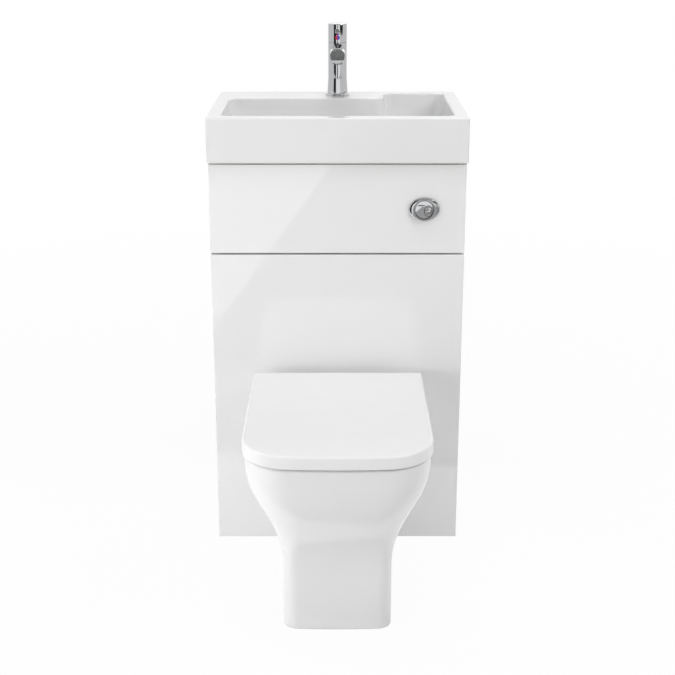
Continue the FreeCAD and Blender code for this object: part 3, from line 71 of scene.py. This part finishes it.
# Shader sums read as sums: a Wire is one socket of a material's nodes.
class Wire:
    def __init__(self, tree, out=None):
        self.tree = tree
        self.out = out

    def node(self, kind, settings=None, inputs=None, output=0):
        made = self.tree.nodes.new(kind)
        for name, value in (settings or {}).items():
            if name == "stops":
                while len(made.color_ramp.elements) < len(value):
                    made.color_ramp.elements.new(1.0)
                for element, (place, grey) in zip(made.color_ramp.elements, value):
                    element.position = place
                    element.color = (grey, grey, grey, 1.0)
            else:
                setattr(made, name, value)
        for name, value in (inputs or {}).items():
            if isinstance(value, Wire):
                self.tree.links.new(value.out, made.inputs[name])
            else:
                made.inputs[name].default_value = value
        return Wire(self.tree, made.outputs[output])

    def sum(self, operation, first, second):
        return self.node("ShaderNodeMath", {"operation": operation}, {0: first, 1: second})

    def __add__(self, other):
        return self.sum("ADD", self, other)

    def __radd__(self, other):
        return self.sum("ADD", other, self)

    def __sub__(self, other):
        return self.sum("SUBTRACT", self, other)

    def __rsub__(self, other):
        return self.sum("SUBTRACT", other, self)

    def __mul__(self, other):
        return self.sum("MULTIPLY", self, other)

    def __rmul__(self, other):
        return self.sum("MULTIPLY", other, self)

    def __gt__(self, other):
        return self.sum("GREATER_THAN", self, other)

    def __lt__(self, other):
        return self.sum("LESS_THAN", self, other)


def startFinish(name):
    material = bpy.data.materials.new(name)
    material.use_nodes = True
    material.node_tree.nodes.clear()
    return material, Wire(material.node_tree)


def endFinish(material, wire, settings):
    surface = wire.node("ShaderNodeBsdfPrincipled", {}, settings)
    target = wire.tree.nodes.new("ShaderNodeOutputMaterial")
    wire.tree.links.new(surface.out, target.inputs["Surface"])
    return material


def objectPlace(wire, scale=(1, 1, 1)):
    place = wire.node("ShaderNodeTexCoord", output="Object")
    if scale == (1, 1, 1):
        return place
    return wire.node("ShaderNodeMapping", {}, {"Vector": place, "Scale": scale})


def axisOf(wire, vector, axis):
    return wire.node("ShaderNodeSeparateXYZ", {}, {"Vector": vector}, axis)


def noise(wire, vector, scale, detail=2.0, roughness=0.5):
    return wire.node("ShaderNodeTexNoise", {},
                     {"Vector": vector, "Scale": scale, "Detail": detail, "Roughness": roughness})


def ramp(wire, value, stops):
    return wire.node("ShaderNodeValToRGB", {"stops": stops}, {"Fac": value})


def mixed(wire, share, first, second):  # colours
    return wire.node("ShaderNodeMix", {"data_type": "RGBA"}, {0: share, 6: first, 7: second}, 2)


def bump(wire, height, distance, strength=1.0):
    return wire.node("ShaderNodeBump", {}, {"Height": height, "Distance": distance, "Strength": strength})


def grey(level, warm=0.0):
    return (level + warm, level + warm * 0.4, level - warm, 1.0)


# Finishes

board = {  # raw chipboard
    "deep": (0.33, 0.235, 0.15, 1.0), "pale": (0.58, 0.455, 0.32, 1.0), "stops": [(0.35, 0.0), (0.65, 1.0)],
}


def boardColour(wire, chips):
    return mixed(wire, ramp(wire, chips, board["stops"]), board["deep"], board["pale"])


lacquer = {
    "light": 0.852, "dark": 0.838, "gloss": 0.004, "cloudGloss": 0.004, "backGloss": 0.6, "coatGloss": 0.004,
    "index": 1.7, "cloudScale": 2.2, "peelScale": 260, "peelDepth": 0.000001, "chipScale": 340, "chipHeight": 160,
}


def lacquerFinish():
    material, wire = startFinish("lacquer")
    place = objectPlace(wire)
    cloud = noise(wire, place, lacquer["cloudScale"], 2.0)
    peel = noise(wire, place, lacquer["peelScale"], 1.0)
    back = axisOf(wire, wire.node("ShaderNodeTexCoord", output="Normal"), "Y") > 0.5  # raw board behind
    chips = noise(wire, objectPlace(wire, (1.0, 1.0, 1.6)), lacquer["chipScale"], 4.0, 0.7)
    white = mixed(wire, cloud, grey(lacquer["dark"]), grey(lacquer["light"]))
    rough = lacquer["gloss"] + cloud * lacquer["cloudGloss"] + back * lacquer["backGloss"]
    height = peel * (1 - back) + chips * back * lacquer["chipHeight"]
    return endFinish(material, wire, {
        "Base Color": mixed(wire, back, white, boardColour(wire, chips)), "Roughness": rough,
        "IOR": lacquer["index"], "Coat Weight": 1 - back, "Coat Roughness": lacquer["coatGloss"],
        "Normal": bump(wire, height, lacquer["peelDepth"])})


melamine = {
    "light": 0.80, "dark": 0.77, "warm": 0.006, "gloss": 0.38, "pearlGloss": 0.15, "edgeGloss": 0.35,
    "grainScale": 900, "grainDepth": 0.00002, "chipScale": 320, "chipHeight": 6,
}


def melamineFinish():
    material, wire = startFinish("melamine")
    place = objectPlace(wire)
    normal = wire.node("ShaderNodeTexCoord", output="Normal")
    edge = axisOf(wire, normal, "Z")
    cutEdge = (edge * edge) > 0.5  # sawn top and bottom edges show the board
    pearl = noise(wire, place, melamine["grainScale"], 3.0, 0.6)
    chips = noise(wire, objectPlace(wire, (1.0, 1.5, 1.0)), melamine["chipScale"], 4.0, 0.7)
    warm = melamine["warm"]
    white = mixed(wire, pearl, grey(melamine["dark"], warm), grey(melamine["light"], warm))
    return endFinish(material, wire, {
        "Base Color": mixed(wire, cutEdge, white, boardColour(wire, chips)),
        "Roughness": melamine["gloss"] + pearl * melamine["pearlGloss"] + cutEdge * melamine["edgeGloss"],
        "Normal": bump(wire, pearl + chips * cutEdge * melamine["chipHeight"], melamine["grainDepth"])})


beech = {
    "pale": (0.66, 0.47, 0.29, 1.0), "deep": (0.50, 0.32, 0.18, 1.0), "stops": [(0.3, 0.0), (0.7, 1.0)],
    "grainScale": (30, 900, 900), "fleckScale": (250, 3000, 3000), "gloss": 0.55, "fleckGloss": 0.2, "depth": 0.00008,
}


def beechFinish():
    material, wire = startFinish("beech")
    grain = noise(wire, objectPlace(wire, beech["grainScale"]), 1.0, 4.0, 0.65)
    flecks = noise(wire, objectPlace(wire, beech["fleckScale"]), 1.0, 2.0)
    return endFinish(material, wire, {
        "Base Color": mixed(wire, ramp(wire, grain, beech["stops"]), beech["deep"], beech["pale"]),
        "Roughness": beech["gloss"] + flecks * beech["fleckGloss"],
        "Normal": bump(wire, grain + flecks, beech["depth"])})


glaze = {
    "panLight": 0.855, "basinLight": 0.789, "fade": 0.02, "gloss": 0.055, "cloudGloss": 0.03, "bareGloss": 0.6,
    "index": 1.52, "cloudScale": 5.0, "waveScale": 14, "waveDepth": 0.00020, "poreScale": 900, "poreHeight": 0.4,
    "panFoot": 0.0012, "basinFoot": 0.001,
}


def glazeFinish(name, footHeight, light):
    material, wire = startFinish(name)
    place = objectPlace(wire)
    cloud = noise(wire, place, glaze["cloudScale"], 3.0)
    wave = noise(wire, place, glaze["waveScale"], 1.0)
    pores = noise(wire, place, glaze["poreScale"], 2.0)
    bare = axisOf(wire, place, "Z") < footHeight  # the unglazed foot
    white = mixed(wire, cloud, grey(light - glaze["fade"]), grey(light))
    clay = mixed(wire, pores, grey(0.58, 0.05), grey(0.72, 0.05))
    rough = glaze["gloss"] + cloud * glaze["cloudGloss"] + bare * glaze["bareGloss"]
    height = wave + pores * bare * glaze["poreHeight"]
    return endFinish(material, wire, {
        "Base Color": mixed(wire, bare, white, clay), "Roughness": rough, "IOR": glaze["index"],
        "Normal": bump(wire, height, glaze["waveDepth"])})


seatGloss = {
    "light": 0.872, "dark": 0.857, "gloss": 0.09, "flowGloss": 0.03, "scuffGloss": 0.05, "index": 1.5,
    "flowScale": 30, "flowDepth": 0.00006, "scuffScale": (60, 420, 200), "scuffStops": [(0.55, 0.0), (0.75, 1.0)],
}


def seatFinish():
    material, wire = startFinish("seatGloss")
    place = objectPlace(wire)
    flow = noise(wire, place, seatGloss["flowScale"], 2.0)
    rubbed = noise(wire, objectPlace(wire, seatGloss["scuffScale"]), 1.0, 5.0, 0.7)
    scuffs = ramp(wire, rubbed, seatGloss["scuffStops"])
    return endFinish(material, wire, {
        "Base Color": mixed(wire, flow, grey(seatGloss["dark"]), grey(seatGloss["light"])),
        "Roughness": seatGloss["gloss"] + flow * seatGloss["flowGloss"] + scuffs * seatGloss["scuffGloss"],
        "IOR": seatGloss["index"],
        "Normal": bump(wire, flow, seatGloss["flowDepth"])})


chrome = {
    "bright": (0.68, 0.685, 0.695, 1.0), "dull": (0.58, 0.585, 0.60, 1.0), "gloss": 0.03, "cloudGloss": 0.03,
    "spotGloss": 0.06, "cloudScale": 40, "spotScale": 420, "spotStops": [(0.62, 0.0), (0.70, 1.0)], "depth": 0.00003,
}


def chromeFinish():
    material, wire = startFinish("chrome")
    place = objectPlace(wire)
    cloud = noise(wire, place, chrome["cloudScale"], 3.0)
    spots = ramp(wire, noise(wire, place, chrome["spotScale"], 2.0), chrome["spotStops"])  # dried water
    return endFinish(material, wire, {
        "Base Color": mixed(wire, spots * 0.5 + cloud * 0.2, chrome["bright"], chrome["dull"]), "Metallic": 1.0,
        "Roughness": chrome["gloss"] + cloud * chrome["cloudGloss"] + spots * chrome["spotGloss"],
        "Normal": bump(wire, cloud, chrome["depth"])})


zinc = {
    "bright": (0.62, 0.63, 0.63, 1.0), "dull": (0.42, 0.43, 0.43, 1.0), "stops": [(0.35, 0.0), (0.65, 1.0)],
    "cloudScale": 120, "streakScale": (900, 900, 60), "gloss": 0.26, "streakGloss": 0.22, "depth": 0.00004,
}


def zincFinish():
    material, wire = startFinish("zincPlate")
    place = objectPlace(wire)
    cloud = noise(wire, place, zinc["cloudScale"], 4.0, 0.6)
    streaks = noise(wire, objectPlace(wire, zinc["streakScale"]), 1.0, 3.0)
    return endFinish(material, wire, {
        "Base Color": mixed(wire, ramp(wire, cloud, zinc["stops"]), zinc["dull"], zinc["bright"]), "Metallic": 1.0,
        "Roughness": zinc["gloss"] + streaks * zinc["streakGloss"], "Normal": bump(wire, streaks, zinc["depth"])})


brass = {
    "bright": (0.72, 0.54, 0.24, 1.0), "dull": (0.46, 0.31, 0.12, 1.0), "stops": [(0.4, 0.0), (0.7, 1.0)],
    "tarnishScale": 70, "ringScale": 600, "gloss": 0.22, "tarnishGloss": 0.2, "depth": 0.00003,
}


def brassFinish():
    material, wire = startFinish("machinedBrass")
    place = objectPlace(wire)
    tarnish = noise(wire, place, brass["tarnishScale"], 4.0, 0.6)
    rings = wire.node("ShaderNodeTexWave", {"bands_direction": "Z"},
                      {"Vector": place, "Scale": brass["ringScale"], "Distortion": 0.6}, "Fac")  # turning marks
    return endFinish(material, wire, {
        "Base Color": mixed(wire, ramp(wire, tarnish, brass["stops"]), brass["bright"], brass["dull"]), "Metallic": 1.0,
        "Roughness": brass["gloss"] + tarnish * brass["tarnishGloss"], "Normal": bump(wire, rings, brass["depth"])})


mouldings = {  # level, warmth, roughness, grain depth in metres
    "whitePlastic": (0.80, 0.004, 0.34, 0.00005),
    "tankPlastic": (0.66, -0.006, 0.42, 0.00010),
    "greyPlastic": (0.18, -0.006, 0.40, 0.00008),
    "blackPlastic": (0.030, 0.0, 0.45, 0.00010),
    "rubberBlack": (0.028, 0.0, 0.72, 0.00014),
    "rubberPale": (0.56, 0.012, 0.68, 0.00012),
    "tubeVinyl": (0.60, -0.010, 0.22, 0.00003),
}

dusting = {"colour": grey(0.55, 0.03), "scale": 90, "stops": [(0.52, 0.0), (0.80, 1.0)], "share": 0.14, "gloss": 0.15}


def mouldingFinish(name):
    level, warm, rough, depth = mouldings[name]
    material, wire = startFinish(name)
    place = objectPlace(wire)
    flow = noise(wire, place, 22, 3.0)
    grain = noise(wire, place, 1500, 2.0, 0.6)
    dust = ramp(wire, noise(wire, place, dusting["scale"], 5.0, 0.65), dusting["stops"])
    plain = mixed(wire, flow, grey(level * 0.92, warm), grey(level * 1.06, warm))
    return endFinish(material, wire, {
        "Base Color": mixed(wire, dust * dusting["share"], plain, dusting["colour"]),
        "Roughness": rough + grain * 0.10 + dust * dusting["gloss"], "Normal": bump(wire, grain, depth)})


marks = {
    "red": (0.72, 0.03, 0.05, 1.0), "blue": (0.03, 0.06, 0.62, 1.0), "gloss": 0.16, "speckGloss": 0.12,
    "speckScale": 2500, "depth": 0.00002,
}


def markFinish():
    material, wire = startFinish("hotAndColdMarks")
    place = objectPlace(wire)
    cold = axisOf(wire, place, "X") > 0.0
    speck = noise(wire, place, marks["speckScale"], 2.0)
    return endFinish(material, wire, {
        "Base Color": mixed(wire, cold, marks["red"], marks["blue"]),
        "Roughness": marks["gloss"] + speck * marks["speckGloss"], "Normal": bump(wire, speck, marks["depth"])})


finishes = {
    "lacquer": lacquerFinish(), "melamine": melamineFinish(), "dowel": beechFinish(),
    "ceramic": glazeFinish("panGlaze", glaze["panFoot"], glaze["panLight"]),
    "basin": glazeFinish("basinGlaze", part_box("basin")[0].z + glaze["basinFoot"], glaze["basinLight"]),
    "chrome": chromeFinish(), "steel": zincFinish(), "brass": brassFinish(), "seat": seatFinish(),
    "white_plastic": mouldingFinish("whitePlastic"), "tank": mouldingFinish("tankPlastic"),
    "grey_plastic": mouldingFinish("greyPlastic"), "black_plastic": mouldingFinish("blackPlastic"),
    "rubber": mouldingFinish("rubberBlack"), "pale_rubber": mouldingFinish("rubberPale"),
    "air_tube": mouldingFinish("tubeVinyl"), "marks": markFinish(),
}
print("finishes made:", len(finishes))

plated = {"cartridge_nut": "chrome"}  # its rim shows in the tap's seam

for row in frame["record"]["subparts"]:
    finish = finishes[plated.get(row["node"], row["material_slot"])]
    for slotOfPiece in bpy.data.objects[row["node"]].material_slots:
        slotOfPiece.material = finish
print("finishes on all pieces")


# New pieces: what the solids leave plain

mending = {"mergeWithin": 0.00001, "smoothAngle": 28}


def mergePoints():  # in edit mode
    bpy.ops.mesh.select_all(action="SELECT")
    bpy.ops.mesh.remove_doubles(threshold=mending["mergeWithin"])


def turnOutward():  # in edit mode
    bpy.ops.mesh.select_all(action="SELECT")
    bpy.ops.mesh.normals_make_consistent(inside=False)


# A copy of a node's mesh, merged, cut by one plane and smoothed again.
def cutCopy(name, node, planePlace, planeNormal, **cut):
    piece = bpy.data.objects.new(name, frame["nodes"][node].data.copy())
    bpy.context.scene.collection.objects.link(piece)
    bpy.ops.object.select_all(action="DESELECT")
    piece.select_set(True)
    bpy.context.view_layer.objects.active = piece
    bpy.ops.mesh.customdata_custom_splitnormals_clear()
    bpy.ops.object.mode_set(mode="EDIT")
    mergePoints()
    bpy.ops.mesh.bisect(plane_co=planePlace, plane_no=planeNormal, **cut)
    turnOutward()
    bpy.ops.object.mode_set(mode="OBJECT")
    bpy.ops.object.shade_smooth_by_angle(angle=math.radians(mending["smoothAngle"]))
    return piece


screen = {"radius": 0.008, "rimPoints": 48, "rows": 12, "wire": 0.00032, "inset": 0.0014}


def makeAeratorScreen():
    low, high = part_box("aerator")
    middle = (low + high) / 2
    bpy.ops.object.select_all(action="DESELECT")
    bpy.ops.mesh.primitive_circle_add(vertices=screen["rimPoints"], radius=screen["radius"],
                                      location=(middle.x, middle.y, low.z + screen["inset"]))
    mesh = bpy.context.object
    mesh.name = "aerator_screen"
    bpy.ops.object.mode_set(mode="EDIT")
    bpy.ops.mesh.select_all(action="SELECT")
    bpy.ops.mesh.fill_grid(span=screen["rows"])  # a sheet of small squares inside the rim
    bpy.ops.object.mode_set(mode="OBJECT")
    weave = mesh.modifiers.new("weave", "WIREFRAME")
    weave.thickness = screen["wire"]
    weave.use_even_offset = True
    bpy.ops.object.modifier_apply(modifier="weave")
    bpy.ops.object.transform_apply(location=True, rotation=True, scale=True)
    bpy.ops.object.mode_set(mode="EDIT")
    mergePoints()
    turnOutward()
    bpy.ops.object.mode_set(mode="OBJECT")
    mesh.data.materials.append(finishes["steel"])
    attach(mesh, "unit")


lidShell = {"trim": 0.002}


# The lid with a shorter skirt, so the shadow gap over the pan shows as it does in the photo.
def makeLidShell():
    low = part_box("seat_lid")[0]
    trimPlace = (0, 0, low.z + lidShell["trim"])
    shell = cutCopy("lid_shell", "seat_lid", trimPlace, (0, 0, 1), use_fill=True, clear_inner=True)
    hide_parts("seat_lid")
    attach(shell, "lid")


# One bellows behind each button, cut from the shared bellows node.
def makeBellows(name, away):
    low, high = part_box("flush_bellows")
    folds = cutCopy(name, "flush_bellows", (low + high) / 2, (away, 0, 0), clear_outer=True)  # drops the other one
    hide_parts("flush_bellows")
    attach(folds, "unit")
    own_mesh(folds)


makeLidShell()
makeAeratorScreen()
makeBellows("full_bellows", 1)
makeBellows("half_bellows", -1)
print("new pieces made")


# Stage: floor, cards that only mirrors see, lights, camera

def stagePlane(name, size, place, turn=(0, 0, 0)):
    bpy.ops.object.select_all(action="DESELECT")
    bpy.ops.mesh.primitive_plane_add(size=1, location=place, rotation=[math.radians(a) for a in turn])
    plane = bpy.context.object
    plane.name = name
    plane.scale = (size[0], size[1], 1)
    return plane


floor = {"size": 60.0, "colour": grey(0.82), "glow": 0.95, "near": 0.7, "far": 3.2}


def makeFloor():
    material, wire = startFinish("floorPaint")
    paint = wire.node("ShaderNodeBsdfDiffuse", {}, {"Color": floor["colour"]})
    white = wire.node("ShaderNodeEmission", {}, {"Color": grey(1.0), "Strength": 1.0})
    seen = wire.node("ShaderNodeLightPath", output="Is Camera Ray")
    mirrored = wire.node("ShaderNodeLightPath", output="Is Glossy Ray")
    reach = wire.node("ShaderNodeVectorMath", {"operation": "LENGTH"}, {0: objectPlace(wire)}, "Value")
    fade = wire.node("ShaderNodeMapRange", {}, {
        "Value": reach * floor["size"], "From Min": floor["near"], "From Max": floor["far"]})
    glow = floor["glow"] + fade * (1 - floor["glow"])  # meets the white sky with no line
    share = wire.sum("MAXIMUM", seen, mirrored) * glow
    both = wire.node("ShaderNodeMixShader", {}, {0: share, 1: paint, 2: white})
    target = wire.tree.nodes.new("ShaderNodeOutputMaterial")
    wire.tree.links.new(both.out, target.inputs["Surface"])
    plane = stagePlane("floor", (floor["size"], floor["size"]), (0, 0, 0))
    plane.data.materials.append(material)


cards = {  # width and length, place, turn in degrees, strength: seen only in reflections
    "floorCard": ((3.0, 4.9), (1.307, -2.62, 0.002), (0, 0, 8.0), 0.42),
    "spoutCard": ((1.6, 3.0), (0.0, -7.6, 0.003), (0, 0, 0), 0.16),
    "leftFlag": ((0.85, 2.6), (-0.71, -0.93, 1.2), (90, 0, -61), 0.02),
    "rightFlag": ((0.7, 0.46), (0.75, -0.35, 1.15), (90, 0, 54), 0.02),
    "leftWall": ((6.4, 3.0), (-2.3, -0.1, 1.5), (90, 0, 90), 0.70),
    "rightWall": ((7.0, 3.0), (2.3, -0.2, 1.5), (90, 0, 90), 0.70),
    "ceiling": ((6.0, 4.0), (0.0, -1.6, 3.6), (0, 0, 0), 0.35),
    "leftFloor": ((1.6, 3.0), (-1.75, -2.2, 0.002), (0, 0, 0), 0.35),
    "lowFlag": ((0.7, 0.45), (0.75, -0.35, 0.52), (90, 0, 54), 0.30),
    "frontWall": ((8.0, 3.0), (0.0, -4.5, 2.4), (90, 0, 0), 0.25),
}


def makeCards():
    for name, (size, place, turn, strength) in cards.items():
        material, wire = startFinish(name + "Paint")
        paint = wire.node("ShaderNodeEmission", {}, {"Color": grey(1.0), "Strength": strength})
        target = wire.tree.nodes.new("ShaderNodeOutputMaterial")
        wire.tree.links.new(paint.out, target.inputs["Surface"])
        card = stagePlane(name, size, place, turn)
        card.data.materials.append(material)
        card.visible_camera = False
        card.visible_diffuse = False
        card.visible_transmission = False
        card.visible_shadow = False


world = {"horizon": 0.25, "zenith": 0.40}


def makeWorld():
    sky = bpy.data.worlds.new("studio")
    bpy.context.scene.world = sky
    sky.use_nodes = True
    sky.node_tree.nodes.clear()
    wire = Wire(sky.node_tree)
    path = sky.node_tree.nodes.new("ShaderNodeLightPath")
    seen = Wire(sky.node_tree, path.outputs["Is Camera Ray"])
    mirrored = Wire(sky.node_tree, path.outputs["Is Glossy Ray"])
    through = Wire(sky.node_tree, path.outputs["Is Transmission Ray"])
    direct = wire.sum("MAXIMUM", wire.sum("MAXIMUM", seen, mirrored), through)
    height = axisOf(wire, wire.node("ShaderNodeTexCoord", output="Generated"), "Z")
    ambient = world["horizon"] - height * height * (world["horizon"] - world["zenith"])
    strength = ambient + direct * (1 - ambient)
    light = wire.node("ShaderNodeBackground", {}, {"Color": grey(1.0), "Strength": strength})
    target = sky.node_tree.nodes.new("ShaderNodeOutputWorld")
    sky.node_tree.links.new(light.out, target.inputs["Surface"])


lamps = {  # place, what it looks at, size, watts
    "keyLight": ((2.2, -1.2, 2.4), (0.0, 0.0, 0.6), (1.6, 1.2), 30.0),
    "sideLight": ((-2.6, -0.6, 0.6), (0.0, -0.2, 0.3), (1.6, 1.0), 17.5),
    "fillLight": ((-1.9, -2.0, 0.7), (0.0, 0.0, 0.45), (1.6, 1.0), 24.0),
    "lowLight": ((2.4, -1.6, 0.6), (0.0, 0.0, 0.4), (1.6, 1.0), 4.0),
    "topLight": ((-0.2, -0.4, 3.0), (0.0, -0.1, 0.6), (1.8, 0.5), 24.5),
    "rearLight": ((0.4, 2.4, 2.9), (0.0, 0.2, 0.5), (1.6, 1.6), 16.0),
}

mirroredLamps = ("keyLight", "rearLight")  # the rest leave no streaks on chrome


def makeLamps():
    for name, (place, target, size, watts) in lamps.items():
        bpy.ops.object.light_add(type="AREA", location=place)
        lamp = bpy.context.object
        lamp.name = name
        lamp.data.shape = "RECTANGLE"
        lamp.data.size, lamp.data.size_y = size
        lamp.data.energy = watts
        lamp.visible_glossy = name in mirroredLamps
        lamp.rotation_euler = (Vector(target) - Vector(place)).to_track_quat("-Z", "Y").to_euler()


camera = {"place": (0.0, -2.3633, 1.2877), "pitch": 17.31, "lens": 67.8, "sensor": 36.0, "shift": -0.06}


def makeCamera():
    bpy.ops.object.camera_add(location=camera["place"], rotation=(math.radians(90 - camera["pitch"]), 0, 0))
    view = bpy.context.object
    view.data.lens = camera["lens"]
    view.data.sensor_width = camera["sensor"]
    view.data.shift_y = camera["shift"]
    bpy.context.scene.camera = view


makeFloor()
makeCards()
makeWorld()
makeLamps()
makeCamera()
bpy.context.scene.view_settings.view_transform = "Standard"
print("stage, lights and camera set")
